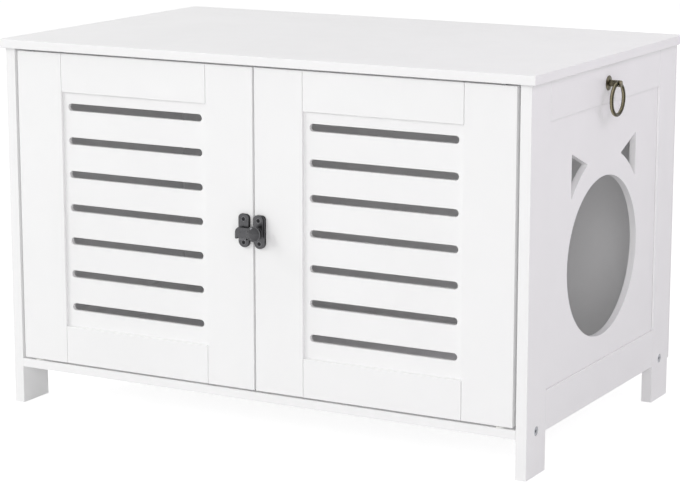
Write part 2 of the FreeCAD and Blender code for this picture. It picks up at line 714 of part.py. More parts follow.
def add_frame_bolts():
    steps = []
    for side, word in sides:
        head = mirrored(side, "place.bolt_seat", "place.outer - sizes.bolt_sunk")
        shank = mirrored(side, "place.bolt_seat - sizes.bolt_long", "place.bolt_seat")
        steps.append((*head, "sizes.bolt_head_dia"))
        steps.append((*shank, "sizes.bolt_dia"))
    bolts = add_pegs("frame_bolts", "x", steps, bolt_centres)
    for side, word in sides:
        face = "place.outer - sizes.bolt_sunk"
        socket = mirrored(side, f"{face} - sizes.socket_deep", face)
        for centre in bolt_centres:
            cut(bolts, "x", *socket, hexagon(centre, "sizes.socket_across"))


def add_barrel_nuts():
    step = ("place.nut_low", "place.nut_low + sizes.nut_long", "sizes.nut_dia")
    nuts = add_pegs("barrel_nuts", "z", [step], corners("place.nut_out", "place.bolt_deep"))
    wide = bore("sizes.bolt_dia", "sizes.thread_play")
    for side, word in sides:
        through = mirrored(side, "place.nut_out - sizes.nut_dia", "place.nut_out + sizes.nut_dia")
        drill(nuts, "x", *through, bolt_centres, wide)


def add_cam_locks():
    steps = [(*mirrored(side, "place.inner", "place.cam_end"), "sizes.cam_dia") for side, word in sides]
    cams = add_pegs("cam_locks", "x", steps, cam_centres)
    down = corners("place.side_middle", "place.cam_deep")
    wide = bore("sizes.cam_bolt_head_dia", "sizes.cam_bolt_play")
    drill(cams, "z", "place.cam_high", "place.cam_high + sizes.cam_dia", down, wide)
    for side, word in sides:
        slot = mirrored(side, "place.inner", "place.inner + sizes.cam_slot_deep")
        for centre in cam_centres:
            cut(cams, "x", *slot, box_about(centre, "sizes.cam_slot_long", "sizes.cam_slot_wide"))


def add_cam_bolts():
    neck = "place.cam_high + sizes.cam_bolt_head_thick"
    steps = (
        ("place.cam_high", neck, "sizes.cam_bolt_head_dia"),
        (neck, "sizes.side_tall + sizes.cam_bolt_in_top", "sizes.cam_bolt_dia"),
    )
    add_pegs("cam_bolts", "z", steps, corners("place.side_middle", "place.cam_deep"))


def add_dowels():
    foot = "sizes.side_tall - sizes.top_dowel_in_rail"
    head = "sizes.side_tall + sizes.top_dowel_in_top"
    centres = corners("place.side_middle", "sizes.top_dowel_from_middle")
    add_pegs("top_dowels", "z", [(foot, head, "sizes.top_dowel_dia")], centres)
    start = "place.inner - sizes.base_dowel_in_board"
    finish = "place.inner + sizes.base_dowel_in_rail"
    steps = [(*mirrored(side, start, finish), "sizes.base_dowel_dia") for side, word in sides]
    add_pegs("base_dowels", "x", steps, base_dowel_centres)


def add_back_screws():
    face = "place.rear + sizes.back_thick"
    steps = (
        ("place.rear - sizes.back_screw_long", face, "sizes.back_screw_dia"),
        (face, f"{face} + sizes.back_head_thick", "sizes.back_head_dia"),
    )
    add_pegs("back_panel_screws", "y", steps, back_screw_centres())


def add_bushings():
    low_face = "place.board_top"
    high_face = "sizes.side_tall"
    steps = (
        (f"{low_face} - sizes.bush_deep", low_face, "sizes.bush_dia"),
        (low_face, f"{low_face} + sizes.flange_thick", "sizes.flange_dia"),
        (high_face, f"{high_face} + sizes.bush_deep", "sizes.bush_dia"),
        (f"{high_face} - sizes.flange_thick", high_face, "sizes.flange_dia"),
    )
    bushings = add_pegs("pivot_bushings", "z", steps, pivot_centres)
    wide = bore("sizes.pin_dia", "sizes.pin_play")
    low_end = f"{low_face} - sizes.bush_deep"
    drill(bushings, "z", low_end, f"{low_face} + sizes.flange_thick", pivot_centres, wide)
    high_end = f"{high_face} + sizes.bush_deep"
    drill(bushings, "z", f"{high_face} - sizes.flange_thick", high_end, pivot_centres, wide)


# doors
def add_door(side, word):
    near, far = ("left", "right") if side > 0 else ("right", "left")
    names = {
        near: f"{word}_door_meeting_stile",
        far: f"{word}_door_hinge_stile",
        "top": f"{word}_door_top_rail",
        "bottom": f"{word}_door_bottom_rail",
        "panel": f"{word}_door_panel",
    }
    tall = ("place.door_low", "place.door_high")
    add_frame(
        names,
        "y",
        ("place.front", "place.door_back"),
        mirrored(side, "place.door_near", "place.door_far"),
        tall,
        tall,
        "sizes.door_stile_wide",
        "sizes.door_rail_tall",
        "sizes.door_panel_thick",
    )
    cut_slots(side, pieces[f"{word}_door_panel"])

    stile = pieces[f"{word}_door_hinge_stile"]
    centre = [(sided(side, "place.pivot_out"), "place.pivot_deep")]
    wide = bore("sizes.pin_dia", "sizes.pin_play")
    low_end = "place.door_low + sizes.pin_in_door"
    high_end = "place.door_high - sizes.pin_in_door"
    drill(stile, "z", "place.door_low", f"{low_end} + sizes.bore_spare", centre, wide)
    drill(stile, "z", f"{high_end} - sizes.bore_spare", "place.door_high", centre, wide)
    steps = (
        ("place.board_top - sizes.pin_in_board", low_end, "sizes.pin_dia"),
        (high_end, "sizes.side_tall + sizes.pin_in_board", "sizes.pin_dia"),
    )
    add_pegs(f"{word}_door_pins", "z", steps, centre)


def cut_slots(side, body):
    thick = ("place.panel_front", "place.panel_back")
    margin = "sizes.slot_margin + place.slot_half"
    near = f"place.door_open_near + {margin}"
    far = f"place.door_open_far - ({margin})"
    start, finish = mirrored(side, near, far)
    level = "place.slot_low"
    outline = box(start, finish, f"{level} - place.slot_half", f"{level} + place.slot_half")
    straight = cut(body, "y", *thick, outline)
    tips = drill(body, "y", *thick, [(start, level), (finish, level)], "sizes.slot_tall")
    slots = body.newObject("PartDesign::LinearPattern", body.Name + "_slots")
    slots.Originals = [straight, tips]
    slots.Direction = (sketch_of(straight), ["V_Axis"])
    slots.setExpression("Length", "place.slot_high - place.slot_low")
    slots.setExpression("Occurrences", "sizes.slot_count")
    body.Tip = slots


# latch on the doors
def plate_screw_centres(out):
    half = "sizes.plate_screw_apart / 2"
    return [(out, f"place.door_middle + {half}"), (out, f"place.door_middle - {half}")]


def plate_outline(left, right, low, high):
    # Upper corners rounded, and a half-round end below where low is given, or else a
    # straight edge at the height in its place.
    corner = "sizes.plate_top_round"
    points = (
        (right, low),
        (right, f"{high} - {corner}"),
        (f"{right} - {corner}", high),
        (f"{left} + {corner}", high),
        (left, f"{high} - {corner}"),
        (left, low),
    )
    return points, {1: (corner, 1), 3: (corner, 1)}


def add_plate(name, out, faces, stile):
    # A plate with rounded upper corners, a half-round lower end and two sunk screws into the
    # meeting stile behind it.  The screws have a face each, the upper one's first.
    face = faces[-1]
    half = "place.plate_half"
    round_middle = f"place.plate_low + {half}"
    points, arcs = plate_outline(f"{out} - {half}", f"{out} + {half}", round_middle, "place.plate_high")
    plate = add_body(name)
    draw_outline(sketch_of(add_pad(plate, "y", face, "place.front")), points, arcs)
    extend_round(plate, "y", face, "place.front", [(out, round_middle)], "sizes.plate_wide")
    if name == "latch_base":
        left, right = f"{out} - {half}", f"{out} + {half} - sizes.housing_inset"
        points, arcs = plate_outline(left, right, "place.housing_low", "place.plate_high")
        draw_outline(sketch_of(add_pad(plate, "y", faces[0], face)), points, arcs)
    centres = plate_screw_centres(out)
    finish = "place.front + sizes.plate_screw_in_door"
    wide = bore("sizes.plate_screw_dia", "sizes.screw_play")
    drill(plate, "y", faces[0], "place.front", centres, wide)
    drill(pieces[stile], "y", "place.front", f"{finish} + sizes.bore_spare", centres, wide)
    screws = add_body(f"{name}_screws")
    screws.AllowCompound = True
    for screw_face, centre in zip(faces, centres):
        head = f"{screw_face} + sizes.plate_head_sunk"
        seat = f"{head} + sizes.plate_head_thick"
        drill(plate, "y", screw_face, seat, [centre], bore("sizes.plate_head_dia", "sizes.screw_play"))
        extend_round(screws, "y", head, seat, [centre], "sizes.plate_head_dia")
        extend_round(screws, "y", seat, finish, [centre], "sizes.plate_screw_dia")
        floor = f"{head} + sizes.driver_cross_deep"
        long, wide = "sizes.driver_cross_long", "sizes.driver_cross_wide"
        cut(screws, "y", head, floor, box_about(centre, long, wide))
        cut(screws, "y", head, floor, box_about(centre, wide, long))
    return plate


spindle_square = ("sizes.spindle_square", "sizes.spindle_square")


def add_latch():
    axis = ("place.base_out", "place.door_middle")
    faces = ("place.housing_front", "place.base_front")
    base = add_plate("latch_base", axis[0], faces, "right_door_meeting_stile")
    wide = bore("sizes.spindle_dia", "sizes.spindle_play")
    drill(base, "y", "place.housing_front", "place.front", [axis], wide)
    recess = "place.foot_start - sizes.foot_play"
    wide = bore("sizes.spindle_foot_dia", "sizes.foot_play")
    drill(base, "y", recess, "place.front", [axis], wide)

    out, face = "place.keeper_out", "place.keeper_front"
    keeper = add_plate("latch_keeper", out, (face, face), "left_door_meeting_stile")
    ledge_middle = "place.lever_low - sizes.lever_play - sizes.ledge_drop / 2"
    outline = box_about((out, ledge_middle), "sizes.ledge_wide", "sizes.ledge_drop")
    extend(keeper, "y", f"{face} - sizes.ledge_proud", face, outline)

    add_lever(axis)
    add_knob(axis)


def add_lever(axis):
    # A flat bar with a half-round end and, below that end, a short hooked tip.
    out, height = axis
    top, low, radius = "place.lever_high", "place.lever_low", "place.lever_round"
    tip = "place.lever_tip"
    hook = f"{tip} + sizes.lever_tip_wide"
    hook_low = f"{height} - sizes.lever_tip_drop"
    hook_top = f"place.lever_centre - sqrt({radius}^2 - ({radius} - sizes.lever_tip_wide)^2)"
    end = (
        (f"{tip} + {radius}", top),
        (tip, "place.lever_centre"),
        (tip, hook_low),
        (hook, hook_low),
        (hook, hook_top),
        (f"{tip} + {radius}", low),
    )
    arcs = {0: (radius, 1), 4: (radius, 1)}
    lever = add_body("latch_lever")
    layer = ("place.lever_front", "place.lever_back")
    draw_outline(sketch_of(add_pad(lever, "y", *layer)), (*end, (out, low), (out, top)), arcs)
    extend_round(lever, "y", *layer, [axis], "sizes.lever_hub_dia")
    pad = add_pad(lever, "y", "place.lever_back", "place.keeper_front - sizes.lever_play")
    pad_end = f"{tip} + sizes.lever_pad_long"
    draw_outline(sketch_of(pad), (*end, (pad_end, low), (pad_end, top)), arcs)
    cut(lever, "y", *layer, box_about(axis, *spindle_square))


def add_knob(axis):
    out, height = axis
    rim = f"{out} + sizes.knob_dia / 2"
    back = "place.neck_end - sizes.knob_flare"
    edge = f"{back} - sizes.knob_rim"
    crown = f"{edge} - sizes.knob_dome"
    points = (
        (out, "place.neck_end"),
        (f"{out} + sizes.knob_neck_dia / 2", "place.neck_end"),
        (rim, back),
        (rim, edge),
        (f"{out} + sizes.knob_dome_dia / 2", edge),
        (out, crown),
    )
    dome_radius = "(sizes.knob_dome_dia^2 / 4 + sizes.knob_dome^2) / (2 * sizes.knob_dome)"
    knob = add_body("latch_knob")
    line = (height, (out, crown), (out, "place.neck_end"))
    turn(knob, "z", line, lambda sketch: draw_outline(sketch, points, {4: (dome_radius, -1)}))
    extend_round(knob, "y", "place.neck_end", "place.lever_front", [axis], "sizes.knob_neck_dia")
    extend(knob, "y", "place.lever_front", "place.lever_back", box_about(axis, *spindle_square))
    extend_round(knob, "y", "place.lever_back", "place.foot_start", [axis], "sizes.spindle_dia")
    extend_round(knob, "y", "place.foot_start", "place.foot_end", [axis], "sizes.spindle_foot_dia")


# ring pull on the right side
def add_ring_pull():
    height = "place.top_rail_middle"
    line = ("0", ("place.outer", height), ("place.post_end", height))

    rosette = add_body("ring_rosette")
    edge = f"{height} + sizes.rosette_dia / 2"
    shoulder = f"{height} + sizes.post_dia / 2"
    points = (
        ("place.outer", height),
        ("place.outer", edge),
        ("place.outer + sizes.rosette_edge", edge),
        ("place.rosette_front", shoulder),
        ("place.rosette_front", height),
    )
    turn(rosette, "y", line, lambda sketch: draw_outline(sketch, points))
    wide = bore("sizes.pull_screw_dia", "sizes.screw_play")
    drill(rosette, "x", "place.outer", "place.rosette_front", [pull_centre], wide)
    drill(pieces["right_side_top_rail"], "x", "place.inner", "place.outer", [pull_centre], wide)

    post = add_body("ring_post")
    tip = f"{height} + sizes.post_tip_dia / 2"
    outline = (
        ("place.rosette_front", height),
        ("place.rosette_front", shoulder),
        ("place.post_end - sizes.post_round", tip),
        ("place.post_end", f"{tip} - sizes.post_round"),
        ("place.post_end", height),
    )
    turn(post, "y", line, lambda sketch: draw_outline(sketch, outline, {2: ("sizes.post_round", -1)}))
    half = "sizes.post_dia"
    eye = [("place.eye_axis", height)]
    drill(post, "y", negative(half), half, eye, "sizes.eye_dia")
    tapped = ("place.rosette_front", "place.rosette_front + sizes.pull_screw_in_post")
    drill(post, "x", *tapped, [pull_centre], bore("sizes.pull_screw_dia", "sizes.thread_play"))

    ring = add_body("pull_ring")
    level = f"{height} - sizes.ring_radius"
    middle = ("0", ("place.outer", level), ("place.eye_axis", level))
    turn(ring, "y", middle, lambda sketch: draw_circles(sketch, eye, "sizes.ring_wire"))

    steps = (
        ("place.inner - sizes.pull_head_thick", "place.inner", "sizes.pull_head_dia"),
        ("place.inner", "place.rosette_front + sizes.pull_screw_in_post", "sizes.pull_screw_dia"),
    )
    add_pegs("ring_screw", "x", steps, [pull_centre])


# magnetic catch behind the doors
def magnet_outline(side):
    centre = (sided(side, "sizes.magnet_out"), "place.catch_middle")
    return box_about(centre, "sizes.magnet_wide", "sizes.magnet_tall")


def add_catch():
    finish = "place.catch_front + sizes.catch_deep"
    half = "sizes.catch_wide / 2"
    outline = box(negative(half), half, "place.catch_low", "sizes.side_tall")
    housing = add_board("catch_housing", "y", "place.catch_front", finish, outline)
    magnets = add_body("catch_magnets")
    magnets.AllowCompound = True
    magnet_end = "place.magnet_front + sizes.magnet_deep"
    for side, word in sides:
        cut(housing, "y", "place.catch_front", magnet_end, magnet_outline(side))
        extend(magnets, "y", "place.magnet_front", magnet_end, magnet_outline(side))
    wide = bore("sizes.catch_screw_dia", "sizes.screw_play")
    drill(housing, "z", "place.catch_low", "sizes.side_tall", catch_screw_centres, wide)
    steps = (
        ("place.catch_low - sizes.catch_head_thick", "place.catch_low", "sizes.catch_head_dia"),
        ("place.catch_low", "sizes.side_tall + sizes.catch_screw_in_top", "sizes.catch_screw_dia"),
    )
    add_pegs("catch_screws", "z", steps, catch_screw_centres)


def add_strike(side, word):
    face = "place.door_back + sizes.strike_thick"
    centre = [(sided(side, "sizes.magnet_out"), "place.catch_middle")]
    outline = box_about(centre[0], "sizes.strike_wide", "sizes.strike_tall")
    plate = add_board(f"{word}_strike_plate", "y", "place.door_back", face, outline)
    seat = f"{face} - sizes.strike_head_thick"
    drill(plate, "y", seat, face, centre, bore("sizes.strike_head_dia", "sizes.screw_play"))
    wide = bore("sizes.strike_screw_dia", "sizes.screw_play")
    drill(plate, "y", "place.door_back", seat, centre, wide)
    tip = "place.door_back - sizes.strike_screw_in_door"
    stile = pieces[f"{word}_door_meeting_stile"]
    drill(stile, "y", f"{tip} - sizes.bore_spare", "place.door_back", centre, wide)
    steps = ((tip, seat, "sizes.strike_screw_dia"), (seat, face, "sizes.strike_head_dia"))
    add_pegs(f"{word}_strike_screw", "y", steps, centre)


# the whole cabinet
def build():
    fill_sheets()
    for side, word in sides:
        add_side(side, word)
    cut_cat_entrance()
    add_top_panel()
    add_bottom_board()
    add_back_panel()
    add_frame_bolts()
    add_barrel_nuts()
    add_cam_locks()
    add_cam_bolts()
    add_dowels()
    add_back_screws()
    add_bushings()
    for side, word in sides:
        add_door(side, word)
    add_latch()
    add_ring_pull()
    add_catch()
    for side, word in sides:
        add_strike(side, word)
    doc.recompute()


def check():
    faults = []
    for item in doc.Objects:
        if "Invalid" in item.State or "Error" in item.State:
            faults.append(f"{item.Name}: {item.State}")
    for name, body in pieces.items():
        if body.Shape.isNull() or not body.Shape.isValid() or not body.Shape.Solids:
            faults.append(f"{name}: no valid solid")
    if faults:
        raise RuntimeError("\n".join(faults))


def write():
    os.makedirs("parts", exist_ok=True)
    for name, body in pieces.items():
        body.Shape.exportStep(f"parts/{name}.step")
        print(f"{name}: {len(body.Shape.Solids)} solids, {body.Shape.Volume:.0f} mm3")


build()
check()
write()
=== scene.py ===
import json
import math

import bmesh
import bpy
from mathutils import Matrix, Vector

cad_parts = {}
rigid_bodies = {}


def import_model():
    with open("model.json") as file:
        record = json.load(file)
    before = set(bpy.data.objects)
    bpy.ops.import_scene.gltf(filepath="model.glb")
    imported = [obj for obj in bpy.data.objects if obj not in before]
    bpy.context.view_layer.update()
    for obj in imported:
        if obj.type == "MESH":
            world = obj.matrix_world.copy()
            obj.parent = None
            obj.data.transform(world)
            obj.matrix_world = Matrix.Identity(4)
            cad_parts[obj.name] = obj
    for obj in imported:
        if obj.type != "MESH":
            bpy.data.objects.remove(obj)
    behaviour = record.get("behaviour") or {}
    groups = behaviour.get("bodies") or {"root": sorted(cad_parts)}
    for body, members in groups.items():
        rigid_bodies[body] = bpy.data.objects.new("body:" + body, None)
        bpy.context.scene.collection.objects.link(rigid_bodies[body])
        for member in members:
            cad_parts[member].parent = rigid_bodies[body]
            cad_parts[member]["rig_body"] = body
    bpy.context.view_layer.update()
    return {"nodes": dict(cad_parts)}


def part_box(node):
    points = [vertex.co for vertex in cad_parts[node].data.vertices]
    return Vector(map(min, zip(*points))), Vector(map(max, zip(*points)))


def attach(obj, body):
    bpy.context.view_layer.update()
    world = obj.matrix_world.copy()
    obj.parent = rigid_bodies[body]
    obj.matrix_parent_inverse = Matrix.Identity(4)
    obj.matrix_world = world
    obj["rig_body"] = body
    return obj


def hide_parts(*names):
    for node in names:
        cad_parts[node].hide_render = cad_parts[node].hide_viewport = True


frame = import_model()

nodes = frame["nodes"]
slotOf = {name: piece.material_slots[0].material.name for name, piece in nodes.items()}
bodyOf = {name: piece["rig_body"] for name, piece in nodes.items()}
scene = bpy.context.scene
scene.view_settings.view_transform = "Standard"


view = {
    "place": (1.5472, -2.8115, 0.8797),  # metres, where the photograph was taken from
    "turn": 28.897,   # degrees to the left of straight ahead
    "tilt": 11.607,   # degrees down
    "sensor": 36,     # mm wide
    "lens": 124.5,    # mm
    "near": 0.1,      # metres, the nearest and the farthest that it sees
    "far": 60,
}
camera = bpy.data.objects.new("camera", bpy.data.cameras.new("camera"))
camera.data.sensor_width = view["sensor"]
camera.data.lens = view["lens"]
camera.data.clip_start = view["near"]
camera.data.clip_end = view["far"]
camera.location = view["place"]
camera.rotation_euler = (math.radians(90 - view["tilt"]), 0, math.radians(view["turn"]))
scene.collection.objects.link(camera)
scene.camera = camera
print("camera set")


def linear(hexColour):
    # an sRGB hex colour as the linear values a socket takes
    parts = [int(hexColour[i:i + 2], 16) / 255 for i in (1, 3, 5)]
    return [p / 12.92 if p <= 0.04045 else ((p + 0.055) / 1.055) ** 2.4 for p in parts] + [1]


def addNode(tree, kind, inputs=None, **settings):
    # one shader node with its settings; each input is another node's output, which is linked, or a value
    node = tree.nodes.new("ShaderNode" + kind)
    for name, value in settings.items():
        setattr(node, name, value)
    for socket, source in (inputs or {}).items():
        if isinstance(source, bpy.types.NodeSocket):
            tree.links.new(source, node.inputs[socket])
        else:
            node.inputs[socket].default_value = source
    return node


def perMetre(mm):
    # the scale that makes a pattern repeat about every so many mm
    return 1000 / mm


def newMaterial(name):
    # an empty material: its tree, its shader and the piece's own coordinates
    material = bpy.data.materials.new(name)
    material.use_nodes = True
    tree = material.node_tree
    tree.nodes.clear()
    shader = addNode(tree, "BsdfPrincipled")
    addNode(tree, "OutputMaterial", {"Surface": shader.outputs[0]})
    coords = addNode(tree, "TexCoord")
    return material, tree, shader, coords


def addTones(tree, pattern, reach, first, second, share=(0, 1)):
    # mixes two colours: over its reach the pattern carries the second one's share from one value to the other
    inputs = {"Value": pattern, "From Min": reach[0], "From Max": reach[1],
              "To Min": share[0], "To Max": share[1]}
    amount = addNode(tree, "MapRange", inputs)
    first, second = (linear(c) if isinstance(c, str) else c for c in (first, second))
    return addNode(tree, "Mix", {0: amount.outputs[0], 6: first, 7: second}, data_type="RGBA").outputs[2]


def finishSurface(tree, shader, look, colour, rub, height, reach=(0.3, 0.7)):
    # what every finish has: a colour, a roughness that one pattern carries and the relief of another
    tree.links.new(colour, shader.inputs["Base Color"])
    low, high = look["roughness"]
    inputs = {"Value": rub, "From Min": reach[0], "From Max": reach[1], "To Min": low, "To Max": high}
    tree.links.new(addNode(tree, "MapRange", inputs).outputs[0], shader.inputs["Roughness"])
    inputs = {"Height": height, "Strength": 1, "Distance": look["depthMm"] / 1000}
    relief = addNode(tree, "Bump", inputs)
    tree.links.new(relief.outputs[0], shader.inputs["Normal"])
    if "metallic" in look:
        shader.inputs["Metallic"].default_value = look["metallic"]
    if "ior" in look:
        shader.inputs["IOR"].default_value = look["ior"]
    return relief


lacquer = {
    "colour": "#f3f3f3",
    "thin": "#f1f1f1",       # where the coat is a little thinner
    "thinReach": (0.35, 0.65),
    "cloud": {"Scale": perMetre(140), "Detail": 3, "Roughness": 0.55},
    "rub": {"Scale": perMetre(24), "Detail": 4, "Roughness": 0.6},
    "fibre": {"Scale": perMetre(0.5), "Detail": 1},    # of the board, which still shows through
    "fibreDepthMm": 0.004,
    # real orange peel is about 1 mm, drawn coarser so that it shows
    "peel": {"Scale": perMetre(2.2), "Roughness": 0.45},
    "depthMm": 0.012,
    "roughness": (0.36, 0.5),
    "ior": 1.5,
}


def makeLacquer():
    # fibreboard, sanded and sprayed with satin lacquer: even white with a soft, faintly rippled sheen
    material, tree, shader, coords = newMaterial("sprayedWhiteLacquerOnFibreboard")
    place = coords.outputs["Object"]
    cloud = addNode(tree, "TexNoise", {"Vector": place, **lacquer["cloud"]}).outputs["Fac"]
    rub = addNode(tree, "TexNoise", {"Vector": place, **lacquer["rub"]}).outputs["Fac"]
    fibre = addNode(tree, "TexNoise", {"Vector": place, **lacquer["fibre"]}).outputs["Fac"]
    peel = addNode(tree, "TexNoise", {"Vector": place, **lacquer["peel"]}).outputs["Fac"]
    colour = addTones(tree, cloud, lacquer["thinReach"], lacquer["colour"], lacquer["thin"])
    ripple = finishSurface(tree, shader, lacquer, colour, rub, peel)
    fine = addNode(tree, "Bump", {"Height": fibre, "Strength": 1, "Distance": lacquer["fibreDepthMm"] / 1000})
    tree.links.new(fine.outputs[0], ripple.inputs["Normal"])
    return material


hardboard = {
    "colour": "#f2f2f2",
    "thin": "#efefef",
    "thinReach": (0.35, 0.65),
    "cloud": {"Scale": perMetre(110), "Detail": 3, "Roughness": 0.6},
    "matt": {"Scale": perMetre(18), "Detail": 3},
    # spacing of the pressing screen's wires; a wave texture makes one band for each 1/20 of a unit at scale 1
    "screen": {"Scale": perMetre(1.4) / 20, "Distortion": 0.3},
    "depthMm": 0.02,
    "roughness": (0.5, 0.62),
}


def makeHardboard():
    # hardboard pressed on a wire screen and roller coated white: matt, with the screen's faint weave
    material, tree, shader, coords = newMaterial("rollerCoatedWhiteHardboard")
    place = coords.outputs["Object"]
    cloud = addNode(tree, "TexNoise", {"Vector": place, **hardboard["cloud"]}).outputs["Fac"]
    matt = addNode(tree, "TexNoise", {"Vector": place, **hardboard["matt"]}).outputs["Fac"]
    screen = {"Vector": place, **hardboard["screen"]}
    across = addNode(tree, "TexWave", screen, bands_direction="X")
    up = addNode(tree, "TexWave", screen, bands_direction="Z")
    weave = addNode(tree, "Math", {0: across.outputs["Fac"], 1: up.outputs["Fac"]}, operation="MULTIPLY")
    colour = addTones(tree, cloud, hardboard["thinReach"], hardboard["colour"], hardboard["thin"])
    finishSurface(tree, shader, hardboard, colour, matt, weave.outputs[0])
    return material


zincPlate = {
    "colour": "#b4b6ba",
    "dull": "#8e9095",
    "dullReach": (0.35, 0.7),
    "cloud": {"Scale": perMetre(3), "Detail": 3, "Roughness": 0.6},
    "marks": {"Scale": perMetre(0.6), "Roughness": 0.6},
    "drawnOut": (1, 1, 0.15),    # the marks run upwards
    "depthMm": 0.01,
    "roughness": (0.26, 0.42),
    "metallic": 1,
}


def makeZincPlate():
    # cold-headed steel, zinc plated and passivated: bright blue-grey, cloudy, with fine marks of the tool
    material, tree, shader, coords = newMaterial("passivatedZincPlatedSteel")
    place = coords.outputs["Object"]
    long = addNode(tree, "Mapping", {"Vector": place, "Scale": zincPlate["drawnOut"]}).outputs[0]
    cloud = addNode(tree, "TexNoise", {"Vector": place, **zincPlate["cloud"]}).outputs["Fac"]
    marks = addNode(tree, "TexNoise", {"Vector": long, **zincPlate["marks"]}).outputs["Fac"]
    colour = addTones(tree, cloud, zincPlate["dullReach"], zincPlate["colour"], zincPlate["dull"])
    finishSurface(tree, shader, zincPlate, colour, cloud, marks)
    return material


beech = {
    "colour": "#d9b88d",
    "dark": "#bf9566",
    "darkReach": (0.3, 0.7),
    "fleckColour": "#9a7048",
    "fleckReach": (0.66, 0.72),
    "grain": {"Scale": perMetre(1.6), "Detail": 4, "Roughness": 0.65},
    "grainDrawnOut": (1, 1, 0.08),
    "fleck": {"Scale": perMetre(0.9), "Detail": 1},
    "fleckDrawnOut": (1, 1, 0.3),
    "depthMm": 0.05,
    "roughness": (0.55, 0.7),
}


def makeBeech():
    # beech, turned into rod and fluted: pinkish tan with fine grain along it and short darker flecks
    material, tree, shader, coords = newMaterial("turnedBeechRod")
    place = coords.outputs["Object"]
    long = addNode(tree, "Mapping", {"Vector": place, "Scale": beech["grainDrawnOut"]}).outputs[0]
    short = addNode(tree, "Mapping", {"Vector": place, "Scale": beech["fleckDrawnOut"]}).outputs[0]
    grain = addNode(tree, "TexNoise", {"Vector": long, **beech["grain"]}).outputs["Fac"]
    fleck = addNode(tree, "TexNoise", {"Vector": short, **beech["fleck"]}).outputs["Fac"]
    wood = addTones(tree, grain, beech["darkReach"], beech["colour"], beech["dark"])
    colour = addTones(tree, fleck, beech["fleckReach"], wood, beech["fleckColour"])
    finishSurface(tree, shader, beech, colour, grain, grain)
    return material


# nylon, injection moulded: milky white with a low sheen
nylon = {
    "name": "mouldedWhiteNylon",
    "colour": "#efefec",
    "second": "#e6e6e2",
    "secondReach": (0.35, 0.65),
    "cloud": {"Scale": perMetre(12)},
    "grain": {"Scale": perMetre(0.8), "Roughness": 0.6},    # spark-eroded grain of the mould
    "depthMm": 0.01,
    "roughness": (0.4, 0.5),
    "ior": 1.53,
}
# ABS, injection moulded: cooler white, a fine even grain
whiteAbs = {
    **nylon,
    "name": "mouldedWhiteAbs",
    "colour": "#ededee",
    "second": "#e6e6e7",
    "grain": {"Scale": perMetre(1.1), "Roughness": 0.6},
    "roughness": (0.38, 0.5),
    "ior": 1.54,
}
# zinc, die-cast and tumbled, not plated: grey, soft and a little pitted
zincCasting = {
    "name": "tumbledZincDieCasting",
    "colour": "#9b9da1",
    "second": "#7d7f84",
    "secondReach": (0.35, 0.7),
    "cloud": {"Scale": perMetre(2.5), "Detail": 4, "Roughness": 0.6},
    "grain": {"Scale": perMetre(0.5), "Detail": 3, "Roughness": 0.7},
    "depthMm": 0.03,
    "roughness": (0.42, 0.58),
    "metallic": 1,
}
# ferrite, pressed from powder and fired: charcoal grey, dry and finely granular
ferrite = {
    "name": "sinteredFerrite",
    "colour": "#2b2b2d",
    "second": "#414144",
    "secondReach": (0.35, 0.7),
    "cloud": {"Scale": perMetre(0.6), "Detail": 4, "Roughness": 0.7},
    "grain": {"Scale": perMetre(0.6), "Detail": 4, "Roughness": 0.7},
    "depthMm": 0.03,
    "roughness": (0.55, 0.75),
}


def makeMoulded(look):
    # a material as its mould or die leaves it: a faint cloud of two tones and a fine grain
    material, tree, shader, coords = newMaterial(look["name"])
    place = coords.outputs["Object"]
    cloud = addNode(tree, "TexNoise", {"Vector": place, **look["cloud"]}).outputs["Fac"]
    grain = addNode(tree, "TexNoise", {"Vector": place, **look["grain"]}).outputs["Fac"]
    colour = addTones(tree, cloud, look["secondReach"], look["colour"], look["second"])
    finishSurface(tree, shader, look, colour, cloud, grain)
    return material


gunmetal = {
    "name": "brushedGunmetalPlatedZincPaintedShade",
    "face": "#5d5d5f",           # rubbed faces
    "side": "#2f2f31",           # cast sides and hollows facing away from the front: partly plating the brush missed, partly painted shade
    "rubAndShadeReach": (0.4, 0.97),  # how squarely a surface faces the front, from the side's painted shade to the rubbed face
    "speck": "#262628",
    "speckReach": (0.55, 0.8),
    "speckMost": 0.6,            # how dark the darkest specks get, of 1
    "edge": "#9a9a9d",           # rims that the brush cut back to the zinc, drawn light also as a painted highlight
    "edgeMm": 0.9,               # how far from a rim that reaches
    "edgeReach": (0.6, 0.92),    # share of the rays that stay inside, from worn and highlit to neither
    "edgeFacing": (-0.2, 0.4),   # how squarely it faces the front, from none of the wear and painted highlight to all of it
    "rimWearAndHighlight": 0.85,                # 1 would be bare zinc; how far the rims go to the edge colour, as wear and painted highlight
    "patch": {"Scale": perMetre(4), "Detail": 4, "Roughness": 0.65},
    # real brush lines are under 0.1 mm, drawn coarser so that they show
    "brush": {"Scale": perMetre(0.7), "Detail": 3, "Roughness": 0.6},
    "drawnOut": (1, 1, 0.12),    # the lines run upwards
    "depthMm": 0.012,
    "roughness": (0.24, 0.4),
    "metallic": 0.9,
}


